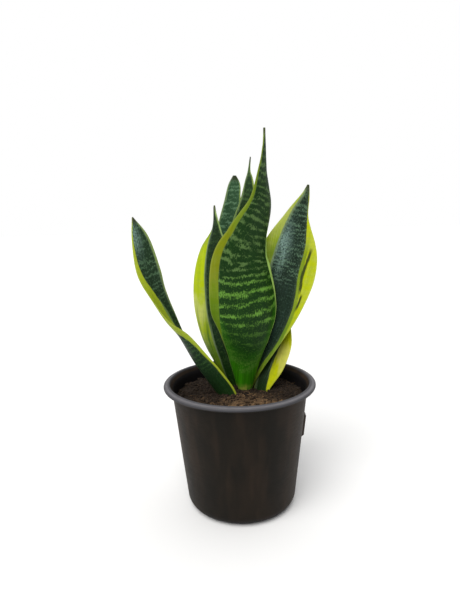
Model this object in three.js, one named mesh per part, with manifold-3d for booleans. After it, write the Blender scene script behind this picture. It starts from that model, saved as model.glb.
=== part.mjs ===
// Potted snake plant: seven variegated leaves on one rhizome, in potting soil, in a round nursery pot.
// Millimetres, +Z up. The origin is on the pot's axis, in the plane that the pot stands on.
// The plant's front is -Y, and its right-hand side is +X.
import * as THREE from "three";
import { mergeVertices } from "three/addons/utils/BufferGeometryUtils.js";
import Module from "manifold-3d";

const wasm = await Module();
wasm.setup();

// ---- Driving dimensions ------------------------------------------------------------------------
const FIT_GAP = 0.3; // between pieces that touch

// Pot: a tapered wall with a rounded foot and an outward lip.
const RIM_RADIUS = 80;
const RIM_HEIGHT = 134; // the lip's outer, lower part
const LIP_THICKNESS = 3.8;
const RIDGE_RISE = 1.2; // the lip's inner ridge above its outer part
const RIDGE_RADIUS = 74.6;
const BASE_RADIUS = 57.5; // where the wall's slope would reach the ground
const WALL_SLOPE = Math.atan(13 / 120); // from the vertical
const WALL = 1.8;
const FOOT_ROUND = 12;
const FLOOR_TOP = 4.4;
const AROUND = 40; // segments of a full turn

// Underside: a foot ring and a middle boss touch the ground, with a drained channel between them.
const BOSS_RADIUS = 17;
const FOOT_RING_WIDTH = 5;
const CHANNEL_DEPTH = 2.4;
const DRAIN_HOLES = 8;
const DRAIN_HOLE_RADIUS = 4;
const DRAIN_CIRCLE_RADIUS = 29;
const FOOT_NOTCHES = 4;
const FOOT_NOTCH_WIDTH = 9;

// Blank raised pad on the wall's right-hand side.
const PAD = { width: 24, height: 23, proud: 2.4, sunk: 1.4, middle: 84.5, azimuth: 4 };

// Soil: a low mound that meets the wall below the rim.
const SOIL_EDGE_HEIGHT = 118.5;
const SOIL_MOUND = 3;
const SOIL_RINGS = 5;

// Rhizome: the buried stem that every leaf grows from.
const RHIZOME_RADIUS = 8;
const RHIZOME_HEIGHT = 96;

// Leaves.
const LEAF_STEPS = 22; // along the leaf
const LEAF_SPANS = 6; // across the leaf
const LEAF_BASE_THICKNESS = 6;
const LEAF_TIP_THICKNESS = 1.8;
const LEAF_EDGE = 0.35; // edge thickness over middle thickness

// A leaf is a row of stations from its buried end to its tip. Each station is
// [x, y, z, half width, turn, cup]. Turn is in degrees about the leaf's own line: at 0 the leaf's
// width runs along +X and its face looks to the front. Cup is the angle in radians through which
// each half bends towards the face, or away from it where it is negative.
const LEAVES = {
  leaf_front: [
    [6, 5, 98, 6, 0, -0.8],
    [5.5, 4, 121, 8.5, 3, -0.9],
    [7, 0, 150, 17.5, 8, -0.8],
    [10, -4, 180, 28.5, 14, -0.65],
    [11.5, -6, 210, 40, 20, -0.7],
    [8.5, -6, 256, 36, 26, -0.55],
    [15, -4, 284, 27, 36, -0.5],
    [27, -2, 317, 19, 50, -0.35],
    [29, 0, 352, 14, 72, -0.25],
    [29.5, 1, 389, 0.6, 84, -0.1],
  ],
  leaf_left_leaning: [
    [-9, -5, 98, 8, -40, -0.5],
    [-15, -8, 120, 13, -32, -0.6],
    [-28, -11, 140, 14.5, -35, -0.75],
    [-42, -14, 160, 15, -45, -0.85],
    [-57, -17, 186, 13.5, -66, -0.9],
    [-70, -19, 206, 12.5, -102, -0.85],
    [-81, -21, 232, 12.5, -126, -0.65],
    [-87.5, -22, 256, 13, -146, -0.45],
    [-93, -22, 286, 9, -150, -0.4],
    [-99, -21, 307, 0.6, -150, -0.2],
  ],
  leaf_left: [
    [-2, 16, 98, 7, -20, -0.7],
    [-4, 15, 120, 10, -20, -0.7],
    [-14, 12, 150, 16, -18, -0.65],
    [-23, 10, 180, 20, -15, -0.6],
    [-26, 9, 212, 24, -14, -0.55],
    [-26, 10, 245, 24, -18, -0.55],
    [-25.5, 11, 272, 20, -35, -0.55],
    [-21.5, 12, 295, 8, -58, -0.5],
    [-21.5, 13, 317, 0.6, -70, -0.2],
  ],
  leaf_rear_left: [
    [2, 40, 98, 8, 0, 0.6],
    [1, 40, 118, 11, 0, 0.6],
    [-2, 47, 158, 15.5, 0, 0.5],
    [-4, 52, 203, 18.5, 2, 0.4],
    [-5, 56, 249, 19, 4, 0.4],
    [-5.5, 59, 290, 16, 6, 0.4],
    [-3, 60, 322, 9.5, 8, 0.3],
    [-0.5, 60, 340, 6, 8, 0.2],
    [0, 60, 350, 0.6, 8, 0.1],
  ],
  leaf_rear_pointed: [
    [8, 30, 98, 8, 10, 0.7],
    [7, 30, 118, 11, 10, 0.7],
    [6, 34, 157, 15, 10, 0.6],
    [6, 37, 203, 18, 8, 0.6],
    [6.5, 39, 249, 18.5, 4, 0.5],
    [9.5, 40, 290, 16, 0, 0.5],
    [14, 40, 320, 9.5, -5, 0.4],
    [15.5, 40, 343, 4.5, -10, 0.4],
    [15.5, 40, 353, 1.5, -12, 0.2],
    [17, 40, 367, 0.6, -12, 0.1],
  ],
  leaf_right: [
    [8, 20, 98, 7, -25, 0.8],
    [8, 20, 120, 8, -25, 0.8],
    [17, 21.5, 149, 16, -24, 0.7],
    [30, 23, 180, 23.5, -22, 0.6],
    [44, 25, 212, 29, -20, 0.5],
    [54, 27, 245, 32.5, -18, 0.45],
    [58.5, 28, 275, 28, -14, 0.4],
    [65, 28, 304, 13, -10, 0.4],
    [73, 27, 324, 5, -8, 0.2],
    [76.5, 27, 336, 0.6, -8, 0.1],
  ],
  leaf_right_short: [
    [21, 16, 98, 8, -24, 0.6],
    [25.5, 16, 120, 9.5, -24, 0.6],
    [37.5, 20, 144, 15, -26, 0.6],
    [45, 25, 168, 17, -28, 0.55],
    [46.5, 28, 194, 13.5, -30, 0.5],
    [49, 32, 219, 9, -30, 0.4],
    [52.5, 35, 237, 4.5, -30, 0.2],
    [55.5, 36, 250, 0.6, -30, 0.1],
  ],
};

// The rhizome passes under the leaves in this order, with two side branches from leaf_right's foot.
const RHIZOME_BRANCHES = [
  ["leaf_rear_left", "leaf_rear_pointed", "leaf_right", "leaf_front", "leaf_left_leaning"],
  ["leaf_right", "leaf_left"],
  ["leaf_right", "leaf_right_short"],
];

// ---- Materials ---------------------------------------------------------------------------------
const potPlastic = new THREE.MeshStandardMaterial({ color: 0x2d2a26, roughness: 0.55, metalness: 0 });
const soilBrown = new THREE.MeshStandardMaterial({ color: 0x3a2b22, roughness: 0.95, metalness: 0 });
const rhizomeTan = new THREE.MeshStandardMaterial({ color: 0xb8895a, roughness: 0.8, metalness: 0 });
const leafGreen = new THREE.MeshStandardMaterial({ color: 0x1f4a2a, roughness: 0.4, metalness: 0 });

// ---- Solids and geometries ---------------------------------------------------------------------
// A closed geometry as a solid that can be cut and joined.
function solidOf(geometry) {
  const bare = geometry.clone();
  bare.deleteAttribute("normal");
  bare.deleteAttribute("uv");
  const merged = mergeVertices(bare);
  const mesh = new wasm.Mesh({
    numProp: 3,
    vertProperties: merged.attributes.position.array,
    triVerts: new Uint32Array(merged.index.array),
  });
  return new wasm.Manifold(mesh);
}

// A solid back as a geometry with flat-shaded normals.
function geometryOf(solid) {
  const mesh = solid.getMesh();
  const geometry = new THREE.BufferGeometry();
  geometry.setAttribute("position", new THREE.BufferAttribute(mesh.vertProperties, 3));
  geometry.setIndex(new THREE.BufferAttribute(mesh.triVerts, 1));
  geometry.computeVertexNormals();
  return geometry;
}

// A profile of [radius, height] points turned about the Z axis.
function turned(profile) {
  const points = profile.map(([radius, height]) => new THREE.Vector2(radius, height));
  return new THREE.LatheGeometry(points, AROUND).rotateX(Math.PI / 2);
}

// Points on an arc in a profile, with both ends. Angles are in degrees, 0 outwards and 90 up.
function arc(radius, height, size, from, to, steps) {
  return Array.from({ length: steps + 1 }, (_, i) => {
    const angle = THREE.MathUtils.degToRad(from + ((to - from) * i) / steps);
    return [radius + size * Math.cos(angle), height + size * Math.sin(angle)];
  });
}

// ---- Pot ---------------------------------------------------------------------------------------
const FOOT_ARC_RADIUS =
  BASE_RADIUS + FOOT_ROUND * Math.tan(WALL_SLOPE) - FOOT_ROUND / Math.cos(WALL_SLOPE);

// The radius of the wall's outer face, moved inwards by inset, at a height above the rounded foot.
function wallRadius(height, inset = 0) {
  return BASE_RADIUS + height * Math.tan(WALL_SLOPE) - inset / Math.cos(WALL_SLOPE);
}

// The rounded foot, moved inwards by inset, from the given height up to where the wall begins.
function footArc(inset, floor, steps) {
  const size = FOOT_ROUND - inset;
  const from = THREE.MathUtils.radToDeg(Math.asin((floor - FOOT_ROUND) / size));
  return arc(FOOT_ARC_RADIUS, FOOT_ROUND, size, from, -THREE.MathUtils.radToDeg(WALL_SLOPE), steps);
}

function potProfile() {
  const ringInside = FOOT_ARC_RADIUS - FOOT_RING_WIDTH;
  const underLip = RIM_HEIGHT - LIP_THICKNESS;
  const edge = LIP_THICKNESS / 2;
  return [
    [0, 0],
    [BOSS_RADIUS, 0],
    [BOSS_RADIUS + 1, CHANNEL_DEPTH],
    [ringInside - 1, CHANNEL_DEPTH],
    [ringInside, 0],
    ...footArc(0, 0, 5),
    [wallRadius(underLip - 1.5), underLip - 1.5],
    [wallRadius(underLip) + 1.5, underLip],
    ...arc(RIM_RADIUS - edge, RIM_HEIGHT - edge, edge, -90, 90, 4),
    [RIDGE_RADIUS + 2.2, RIM_HEIGHT],
    ...arc(RIDGE_RADIUS, RIM_HEIGHT + RIDGE_RISE - 1, 1, 60, 150, 2),
    [wallRadius(underLip, WALL), underLip - 1],
    ...footArc(WALL, FLOOR_TOP, 3).reverse(),
    [0, FLOOR_TOP],
  ];
}

function pot() {
  let solid = solidOf(turned(potProfile()));

  const pad = new THREE.BoxGeometry(PAD.proud + PAD.sunk, PAD.width, PAD.height);
  pad.translate((PAD.proud - PAD.sunk) / 2, 0, 0);
  pad.rotateY(WALL_SLOPE);
  pad.translate(wallRadius(PAD.middle), 0, PAD.middle);
  pad.rotateZ(THREE.MathUtils.degToRad(PAD.azimuth));
  solid = solid.add(solidOf(pad));

  for (let i = 0; i < DRAIN_HOLES; i++) {
    const hole = new THREE.CylinderGeometry(DRAIN_HOLE_RADIUS, DRAIN_HOLE_RADIUS, 4 * FLOOR_TOP, 12);
    hole.rotateX(Math.PI / 2).translate(DRAIN_CIRCLE_RADIUS, 0, 0);
    hole.rotateZ(((i + 0.5) * 2 * Math.PI) / DRAIN_HOLES);
    solid = solid.subtract(solidOf(hole));
  }

  for (let i = 0; i < FOOT_NOTCHES; i++) {
    const notch = new THREE.BoxGeometry(30, FOOT_NOTCH_WIDTH, 2 * CHANNEL_DEPTH);
    notch.translate(FOOT_ARC_RADIUS + 8, 0, 0);
    notch.rotateZ(((i + 0.5) * 2 * Math.PI) / FOOT_NOTCHES);
    solid = solid.subtract(solidOf(notch));
  }
  return geometryOf(solid);
}

// ---- Leaves ------------------------------------------------------------------------------------
// The value at position t along a list of rows, on a smooth curve through every row.
function valueAt(rows, t, column) {
  const i = Math.min(Math.floor(t), rows.length - 2);
  const u = t - i;
  const at = (k) => rows[k][column];
  const p1 = at(i);
  const p2 = at(i + 1);
  const p0 = i > 0 ? at(i - 1) : 2 * p1 - p2;
  const p3 = i < rows.length - 2 ? at(i + 2) : 2 * p2 - p1;
  const bend = 2 * p0 - 5 * p1 + 4 * p2 - p3;
  const twist = 3 * p1 - p0 - 3 * p2 + p3;
  return p1 + 0.5 * u * (p2 - p0 + u * (bend + u * twist));
}

function placeAt(rows, t) {
  return new THREE.Vector3(valueAt(rows, t, 0), valueAt(rows, t, 1), valueAt(rows, t, 2));
}

// The closed outline of a leaf's cross-section: its face from the left edge to the right edge, then
// its back. The outline is grown outwards all round by grow.
function leafRing(rows, t, grow) {
  const end = rows.length - 1;
  const place = placeAt(rows, t);
  const ahead = placeAt(rows, Math.min(t + 0.01, end));
  const along = ahead.sub(placeAt(rows, Math.max(t - 0.01, 0))).normalize();
  const level = new THREE.Vector3(1, 0, 0).addScaledVector(along, -along.x).normalize();
  const across = level.applyAxisAngle(along, THREE.MathUtils.degToRad(valueAt(rows, t, 4)));
  const outward = new THREE.Vector3().crossVectors(across, along);

  const halfWidth = valueAt(rows, t, 3) + grow;
  const cup = valueAt(rows, t, 5);
  const thickness = THREE.MathUtils.lerp(LEAF_BASE_THICKNESS, LEAF_TIP_THICKNESS, t / end);

  const face = [];
  const back = [];
  for (let j = 0; j <= LEAF_SPANS; j++) {
    const s = (2 * j) / LEAF_SPANS - 1;
    const angle = cup * s;
    const middle = place
      .clone()
      .addScaledVector(across, (halfWidth * Math.sin(angle)) / cup)
      .addScaledVector(outward, (halfWidth * (1 - Math.cos(angle))) / cup);
    const normal = outward
      .clone()
      .multiplyScalar(Math.cos(angle))
      .addScaledVector(across, -Math.sin(angle));
    const half = (thickness / 2) * (1 - (1 - LEAF_EDGE) * s * s) + grow;
    face.push(middle.clone().addScaledVector(normal, half));
    back.unshift(middle.addScaledVector(normal, -half));
  }
  return [...face, ...back];
}

// One closed skin over a row of rings, with a flat strip over each end.
function loft(rings) {
  const size = rings[0].length;
  const index = [];
  const quad = (a, b, c, d) => index.push(a, b, c, a, c, d);
  for (let i = 0; i + 1 < rings.length; i++) {
    for (let j = 0; j < size; j++) {
      const next = (j + 1) % size;
      quad(i * size + j, i * size + next, (i + 1) * size + next, (i + 1) * size + j);
    }
  }
  const last = (rings.length - 1) * size;
  for (let j = 0; j + 1 < size / 2; j++) {
    quad(size - 1 - j, size - 2 - j, j + 1, j);
    quad(last + j, last + j + 1, last + size - 2 - j, last + size - 1 - j);
  }
  const geometry = new THREE.BufferGeometry().setFromPoints(rings.flat());
  geometry.setIndex(index);
  return geometry;
}

function leaf(rows, grow = 0) {
  const end = rows.length - 1;
  const rings = Array.from({ length: LEAF_STEPS + 1 }, (_, i) =>
    leafRing(rows, (end * i) / LEAF_STEPS, grow),
  );
  return solidOf(loft(rings));
}

// ---- Rhizome -----------------------------------------------------------------------------------
// Round tubes that pass under the leaves' feet, with round ends.
function rhizome(grow = 0) {
  const radius = RHIZOME_RADIUS + grow;
  const section = new THREE.Shape().absarc(0, 0, radius, 0, 2 * Math.PI);
  const solids = RHIZOME_BRANCHES.flatMap((names) => {
    const feet = names.map((name) => {
      const [x, y] = LEAVES[name][0];
      return new THREE.Vector3(x, y, RHIZOME_HEIGHT);
    });
    const path = new THREE.CatmullRomCurve3(feet);
    const tube = new THREE.ExtrudeGeometry(section, {
      steps: 3 * (feet.length - 1),
      curveSegments: 5,
      extrudePath: path,
    });
    const ends = [feet[0], feet[feet.length - 1]].map((foot) =>
      new THREE.SphereGeometry(radius, 10, 6).translate(foot.x, foot.y, foot.z),
    );
    return [tube, ...ends].map(solidOf);
  });
  return solids.reduce((whole, solid) => whole.add(solid));
}

// ---- Soil --------------------------------------------------------------------------------------
function soilProfile() {
  const inset = WALL + FIT_GAP;
  const edgeRadius = wallRadius(SOIL_EDGE_HEIGHT, inset);
  const mound = Array.from({ length: SOIL_RINGS }, (_, i) => {
    const reach = 1 - (i + 1) / SOIL_RINGS;
    return [edgeRadius * reach, SOIL_EDGE_HEIGHT + SOIL_MOUND * (1 - reach * reach)];
  });
  return [
    [0, FLOOR_TOP + FIT_GAP],
    ...footArc(inset, FLOOR_TOP + FIT_GAP, 3),
    [edgeRadius, SOIL_EDGE_HEIGHT],
    ...mound,
  ];
}

// The soil, with an open socket for every leaf and for the rhizome below them.
function soil() {
  const sockets = Object.values(LEAVES).map((rows) => leaf(rows, FIT_GAP));
  sockets.push(rhizome(FIT_GAP));
  const solid = sockets.reduce((rest, socket) => rest.subtract(socket), solidOf(turned(soilProfile())));
  return geometryOf(solid);
}

// ---- Assembly ----------------------------------------------------------------------------------
const plant = new THREE.Group();
plant.name = "potted_snake_plant";

function addPiece(name, geometry, material) {
  const mesh = new THREE.Mesh(geometry, material.clone());
  mesh.name = name;
  plant.add(mesh);
}

addPiece("pot", pot(), potPlastic);
addPiece("potting_soil", soil(), soilBrown);
addPiece("rhizome", geometryOf(rhizome()), rhizomeTan);
const rhizomeSocket = rhizome(FIT_GAP);
for (const [name, rows] of Object.entries(LEAVES)) {
  addPiece(name, geometryOf(leaf(rows).subtract(rhizomeSocket)), leafGreen);
}

export default plant;
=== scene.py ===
"""A potted snake plant: seven variegated leaves on one rhizome, in crumbly soil in a nursery pot.

Lengths are in millimetres until a mesh is made, and +Z is up. The origin is on the pot's axis, in
the plane that the pot stands on. The plant's front is -Y.
"""

import math

import bpy
import numpy as np
from bpy.props import FloatProperty, FloatVectorProperty, IntProperty, PointerProperty
from mathutils import Matrix, Vector


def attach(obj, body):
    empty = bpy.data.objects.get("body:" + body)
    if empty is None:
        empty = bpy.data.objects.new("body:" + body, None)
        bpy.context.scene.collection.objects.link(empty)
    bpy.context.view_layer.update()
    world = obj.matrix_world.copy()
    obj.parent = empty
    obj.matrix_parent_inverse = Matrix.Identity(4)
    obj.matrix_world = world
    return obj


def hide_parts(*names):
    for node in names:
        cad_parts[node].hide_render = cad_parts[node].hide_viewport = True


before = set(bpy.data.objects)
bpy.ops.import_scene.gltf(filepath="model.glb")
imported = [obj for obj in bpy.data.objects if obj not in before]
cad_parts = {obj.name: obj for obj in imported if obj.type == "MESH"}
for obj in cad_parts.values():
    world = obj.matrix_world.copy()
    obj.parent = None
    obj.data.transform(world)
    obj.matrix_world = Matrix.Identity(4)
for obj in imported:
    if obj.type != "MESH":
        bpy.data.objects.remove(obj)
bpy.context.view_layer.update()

bl_info = {
    "name": "Potted snake plant",
    "version": (1, 0, 0),
    "blender": (4, 5, 0),
    "location": "View3D > Sidebar > Snake plant",
    "description": "Builds a variegated snake plant in a nursery pot",
    "category": "Add Mesh",
}

MM = 0.001
BODY = "root"

# Stations of each leaf, from its buried end to its tip:
# [x, y, z, half width, turn in degrees, cup in radians, left margin, right margin].
# Turn is about the leaf's own line: at 0 its width runs along +X and its face looks to the front.
# Cup is how far each half bends towards the face. The margins are the widths of the yellow edges.
LEAVES = {
    "leaf_front": [
        [6, 5, 98, 6, 0, -0.8, 0.6, 0.6],
        [5.5, 4, 121, 8.5, 3, -0.9, 0.6, 0.6],
        [7, 0, 150, 17.5, 8, -0.8, 0.9, 0.8],
        [10, -4, 180, 28.5, 14, -0.65, 1.8, 1.5],
        [11.5, -6, 210, 40, 20, -0.7, 9.3, 3.2],
        [8.5, -6, 256, 36, 26, -0.55, 8.8, 5.6],
        [15, -4, 284, 27, 36, -0.5, 5.8, 3],
        [27, -2, 317, 19, 50, -0.35, 3.2, 0.7],
        [29, 0, 352, 14, 72, -0.25, 1.6, 0.5],
        [29.5, 1, 389, 1.6, 84, -0.1, 0.3, 0.2],
    ],
    "leaf_left_leaning": [
        [-9, -5, 98, 8, -40, -0.5, 1, 1.5],
        [-15, -8, 120, 13, -32, -0.6, 1, 1.6],
        [-28, -11, 140, 14.5, -35, -0.75, 1, 1.6],
        [-42, -14, 160, 15, -45, -0.85, 1, 2.2],
        [-57, -17, 186, 13.5, -66, -0.9, 0.8, 5],
        [-70, -19, 206, 12.5, -102, -0.85, 0.8, 16],
        [-81, -21, 232, 12.5, -126, -0.65, 1, 10.5],
        [-87.5, -22, 256, 13, -146, -0.45, 1.8, 5],
        [-93, -22, 286, 9, -150, -0.4, 1.8, 1.2],
        [-99, -21, 307, 0.6, -150, -0.2, 0.3, 0.3],
    ],
    "leaf_left": [
        [-2, 16, 98, 7, -20, -0.7, 2, 1],
        [-4, 15, 120, 10, -20, -0.7, 4.5, 1],
        [-14, 12, 150, 16, -18, -0.65, 11.5, 1],
        [-23, 10, 180, 20, -15, -0.6, 15.5, 1],
        [-26, 9, 212, 24, -14, -0.55, 17, 1],
        [-26, 10, 245, 24, -18, -0.55, 15.8, 1],
        [-25.5, 11, 272, 20, -35, -0.55, 14, 1.2],
        [-21.5, 12, 295, 8, -58, -0.5, 3, 1.3],
        [-21.5, 13, 317, 0.6, -70, -0.2, 0.2, 0.2],
    ],
    "leaf_rear_left": [
        [2, 40, 98, 8, 0, 0.6, 1, 1],
        [1, 40, 118, 11, 0, 0.6, 1, 1],
        [-2, 47, 158, 15.5, 0, 0.5, 1, 1.4],
        [-4, 52, 203, 18.5, 2, 0.4, 1, 1.8],
        [-5, 56, 249, 19, 4, 0.4, 1, 2],
        [-5.5, 59, 290, 16, 6, 0.4, 0.8, 2],
        [-3, 60, 322, 9.5, 8, 0.3, 0.7, 1.6],
        [-0.5, 60, 340, 6.8, 8, 0.2, 0.5, 1],
        [0, 60, 350, 1.8, 8, 0.1, 0.2, 0.3],
    ],
    "leaf_rear_pointed": [
        [8, 30, 98, 8, 10, 0.7, 1, 1],
        [7, 30, 118, 11, 10, 0.7, 1, 1],
        [6, 34, 157, 15, 10, 0.6, 1, 1.2],
        [6, 37, 203, 18, 8, 0.6, 1.2, 1.5],
        [6.5, 39, 249, 18.5, 4, 0.5, 1.4, 1.8],
        [9.5, 40, 290, 16, 0, 0.5, 1.4, 2.2],
        [14, 40, 320, 9.5, -5, 0.4, 1, 2],
        [15.5, 40, 343, 4.5, -10, 0.4, 0.5, 1],
        [15.5, 40, 353, 1.5, -12, 0.2, 0.2, 0.3],
        [17, 40, 367, 0.6, -12, 0.1, 0.1, 0.1],
    ],
    "leaf_right": [
        [8, 20, 98, 7, -25, 0.8, 1, 2],
        [8, 20, 120, 8, -25, 0.8, 1, 3.5],
        [17, 21.5, 149, 16, -24, 0.7, 2, 4],
        [30, 23, 180, 23.5, -22, 0.6, 4, 4.2],
        [44, 25, 212, 29, -20, 0.5, 8, 10.5],
        [54, 27, 245, 32.5, -18, 0.45, 12, 19],
        [58.5, 28, 275, 28, -14, 0.4, 13, 12],
        [65, 28, 304, 13, -10, 0.4, 4.5, 1.5],
        [73, 27, 324, 5, -8, 0.2, 1, 0.5],
        [76.5, 27, 336, 1.1, -8, 0.1, 0.2, 0.2],
    ],
    "leaf_right_short": [
        [21, 16, 98, 8, -24, 0.6, 0.8, 3],
        [25.5, 16, 120, 9.5, -24, 0.6, 0.8, 3.3],
        [37.5, 20, 144, 15, -26, 0.6, 0.9, 15.5],
        [45, 25, 168, 17, -28, 0.55, 1, 14],
        [46.5, 28, 194, 13.5, -30, 0.5, 1, 8],
        [49, 32, 219, 9, -30, 0.4, 0.8, 4],
        [52.5, 35, 237, 4.5, -30, 0.2, 0.4, 2],
        [55.5, 36, 250, 0.6, -30, 0.1, 0.2, 0.3],
    ],
}
HALF_WIDTH, TURN, CUP, LEFT_MARGIN, RIGHT_MARGIN = range(3, 8)

# Painted reflections, pale bluish patches of light on the blade: middle across and along, and reach
# across and along. The other leaves have it far below their feet, so that it doesn't show.
PAINTED_REFLECTIONS = {"leaf_right": (-9, 158, 7.5, 24), "leaf_left_leaning": (6, 192, 5, 16)}
NO_REFLECTION = (0, -999, 1, 1)


# ---- Colours -------------------------------------------------------------------------------------
def srgb(red, green, blue):
    """A colour given as screen values from 0 to 255, as the linear values that the shaders use."""
    values = np.array([red, green, blue]) / 255
    linear = np.where(values <= 0.04045, values / 12.92, ((values + 0.055) / 1.055) ** 2.4)
    return tuple(float(value) for value in linear)


def tinted(paint, scale):
    """The colour with its red, green and blue multiplied by the scale's."""
    return tuple(part * factor for part, factor in zip(paint, scale))


# How each leaf is marked, with lengths in millimetres and heights along the leaf from the soil.
# Bands: strength of the pale cross-bands, their spacing low down and high up, and the height at which
# they start. Halo: strength and width of the pale strip inside the edges. Streaks: strength of the
# edges' green streaks. Dashes: whether dark dashes run along the right edge. Fresh: strength of
# the bright green and the pale foot near the soil. Dark and pale: the blade's greens, the pale one
# low down and high up. Edges: the left and the right edge. Tints: patches of another colour on an
# edge, each a side (-1 left, 1 right), a middle and a reach along the leaf, a colour and a strength.
MARKINGS = {
    "leaf_front": {
        "bands": (1.0, 10.8, 7.0, 55),
        "halo": (0.1, 1.2),
        "streaks": 0.2,
        "dashes": False,
        "fresh": 1.0,
        "dark": srgb(9, 44, 2),
        "pale": (srgb(98, 146, 54), srgb(84, 114, 60)),
        "edges": (srgb(100, 124, 0), srgb(168, 204, 104)),
        "tints": (
            (-1, 150, 32, srgb(118, 122, 0), 0.7),
            (-1, 84, 36, srgb(80, 116, 8), 0.55),
        ),
    },
    "leaf_left_leaning": {
        "bands": (0.5, 5.0, 5.0, 20),
        "halo": (0.3, 1.5),
        "streaks": 0.4,
        "dashes": False,
        "fresh": 0.1,
        "dark": srgb(22, 42, 22),
        "pale": (srgb(66, 100, 52), srgb(92, 126, 92)),
        "edges": (srgb(104, 128, 70), srgb(166, 182, 34)),
        "tints": ((1, 100, 70, srgb(122, 140, 36), 0.45),),
    },
    "leaf_left": {
        "bands": (0.2, 8.0, 8.0, 0),
        "halo": (0.6, 2.5),
        "streaks": 1.0,
        "dashes": False,
        "fresh": 0.15,
        "dark": srgb(18, 38, 15),
        "pale": (srgb(76, 106, 54), srgb(76, 106, 54)),
        "edges": (srgb(166, 184, 2), srgb(130, 160, 90)),
        "tints": (
            (-1, 92, 14, srgb(206, 206, 132), 0.45),
            (-1, 186, 36, srgb(98, 132, 24), 0.7),
            (-1, 34, 44, srgb(78, 116, 20), 0.75),
        ),
    },
    "leaf_rear_left": {
        "bands": (0.85, 5.0, 5.0, 60),
        "halo": (0.4, 1.5),
        "streaks": 0.3,
        "dashes": False,
        "fresh": 0.3,
        "dark": srgb(46, 76, 50),
        "pale": (srgb(104, 140, 104), srgb(106, 142, 108)),
        "edges": (srgb(96, 126, 80), srgb(130, 158, 84)),
        "tints": (),
    },
    "leaf_rear_pointed": {
        "bands": (0.6, 6.0, 6.0, 60),
        "halo": (0.4, 1.5),
        "streaks": 0.3,
        "dashes": False,
        "fresh": 0.3,
        "dark": srgb(28, 50, 22),
        "pale": (srgb(76, 108, 60), srgb(76, 108, 60)),
        "edges": (srgb(96, 126, 70), srgb(130, 156, 70)),
        "tints": (),
    },
    "leaf_right": {
        "bands": (0.45, 4.6, 4.6, 105),
        "halo": (0.6, 4),
        "streaks": 0.7,
        "dashes": True,
        "fresh": 0.1,
        "dark": srgb(14, 32, 20),
        "pale": (srgb(74, 100, 84), srgb(108, 142, 112)),
        "edges": (srgb(142, 162, 30), srgb(172, 182, 1)),
        "tints": (
            (-1, 146, 26, srgb(80, 110, 24), 0.65),
            (-1, 190, 24, srgb(196, 204, 110), 0.5),
            (1, 36, 60, srgb(112, 146, 44), 0.55),
        ),
    },
    "leaf_right_short": {
        "bands": (0.4, 8.0, 8.0, 0),
        "halo": (0.5, 3),
        "streaks": 0.15,
        "dashes": False,
        "fresh": 0.1,
        "dark": srgb(12, 26, 8),
        "pale": (srgb(60, 92, 46), srgb(60, 92, 46)),
        "edges": (srgb(110, 140, 60), srgb(188, 194, 1)),
        "tints": ((1, 38, 16, srgb(216, 208, 120), 0.5),),
    },
}


# ---- Settings ------------------------------------------------------------------------------------
def length(name, description, default, low, high):
    """A length setting, in millimetres."""
    return FloatProperty(name=name, description=description, default=default, min=low, max=high)


def colour(name, description, default):
    """A colour setting."""
    return FloatVectorProperty(
        name=name, description=description, default=default, subtype="COLOR", min=0, max=1
    )


class PotSettings(bpy.types.PropertyGroup):
    """Sizes and colours of the pot."""

    rim_radius: length("Rim radius", "Outer radius of the lip", 80, 60, 120)
    rim_height: length("Rim height", "Height of the lip's outer part", 134, 80, 200)
    lip_thickness: length("Lip thickness", "Thickness of the lip's outer edge", 3.8, 1, 8)
    ridge_radius: length("Ridge radius", "Radius of the lip's inner ridge", 74.6, 60, 120)
    ridge_rise: length("Ridge rise", "Height of the inner ridge above the lip", 1.2, 0, 5)
    base_radius: length("Base radius", "Where the wall's slope meets the ground", 57.5, 30, 90)
    wall_slope: FloatProperty(
        name="Wall slope",
        description="Angle between the wall and the vertical",
        default=math.atan(13 / 120),
        subtype="ANGLE",
    )
    wall: length("Wall", "Thickness of the wall", 1.8, 0.5, 5)
    foot_round: length("Foot rounding", "Radius of the rounded foot", 12, 2, 30)
    floor_top: length("Floor top", "Height of the inside of the floor", 4.4, 2, 10)
    plastic: colour("Plastic", "Colour of the pot", srgb(20, 17, 12))
    # Painted light: the lip's top is paler where it faces up to the light.
    lip_top_light: colour("Lip", "Colour of the lip's top", srgb(66, 66, 70))
    # Painted highlight on the lip's outer edge and inner ridge.
    lip_highlight: colour("Rub", "Colour of the lip's rubbed edge", srgb(118, 116, 120))
    # Painted shade on the inside of the pot.
    inside: colour("Inside", "Colour of the shaded inside", srgb(18, 17, 20))
    # Real dust, and also the painted sheen along the wall's left and right sides.
    dust_and_sheen: colour("Dust", "Colour of the dust that clings to the wall", srgb(56, 42, 31))


class SoilSettings(bpy.types.PropertyGroup):
    """Sizes and colours of the soil."""

    edge_height: length("Edge height", "Height of the soil at the wall", 118.5, 80, 130)
    mound: length("Mound", "Rise from the wall to the middle", 3, 0, 10)
    lump: length("Lump", "Height of the surface's lumps", 1.3, 0, 4)
    crumbs: IntProperty(name="Crumbs", description="Loose crumbs", default=3400, min=0, max=6000)
    fibres: IntProperty(name="Fibres", description="Loose fibres", default=110, min=0, max=400)
    dip: length("Dip", "Depth of the hollow by the right-hand leaves", 5, 0, 8)
    # The dark and light colours also paint shade by the walls and at the rear, and light at the front
    # middle.
    dark: colour("Dark", "Colour of damp soil", srgb(24, 19, 16))
    light: colour("Light", "Colour of dry crumbs", srgb(142, 112, 80))


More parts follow.
